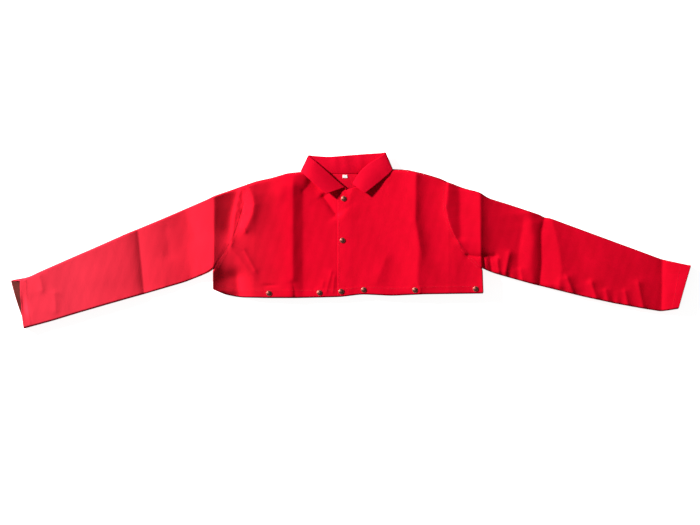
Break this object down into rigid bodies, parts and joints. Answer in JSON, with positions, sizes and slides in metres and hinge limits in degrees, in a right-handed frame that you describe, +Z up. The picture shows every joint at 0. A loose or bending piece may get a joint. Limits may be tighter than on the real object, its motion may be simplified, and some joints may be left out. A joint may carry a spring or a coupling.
{
  "type": "flame-retardant half jacket",
  "caption": "Cropped cotton work jacket with long sleeves, a fold-over collar and a snap front, laid face up; shields arms, shoulders and chest from sparks.",
  "frame": {"origin": "middle of the footprint on the surface that the jacket lies on", "axes": "+X to the wearer's left along the spread sleeves, +Y from the hem to the collar, +Z up out of the jacket's front"},
  "size_m": [1.6275, 0.422, 0.0346],
  "materials": {
    "red_cotton": "matte cotton sateen with a fine diagonal weave",
    "collar_cotton": "matte cotton sateen, two layers sewn together",
    "label_tape": "matte woven tape",
    "snap_brass": "antique brass, satin"
  },
  "bodies": {
    "root": {"back_panel": "red_cotton", "front_panel_right": "red_cotton", "front_panel_left": "red_cotton", "sleeve_right": "red_cotton", "sleeve_left": "red_cotton", "collar": "collar_cotton", "neck_label": "label_tape", "front_snap_top": "snap_brass", "front_snap_middle": "snap_brass", "front_snap_bottom": "snap_brass", "hem_snap_right_outer": "snap_brass", "hem_snap_right_inner": "snap_brass", "hem_snap_left_inner": "snap_brass", "hem_snap_left_middle": "snap_brass", "hem_snap_left_outer": "snap_brass"}
  },
  "joints": []
}
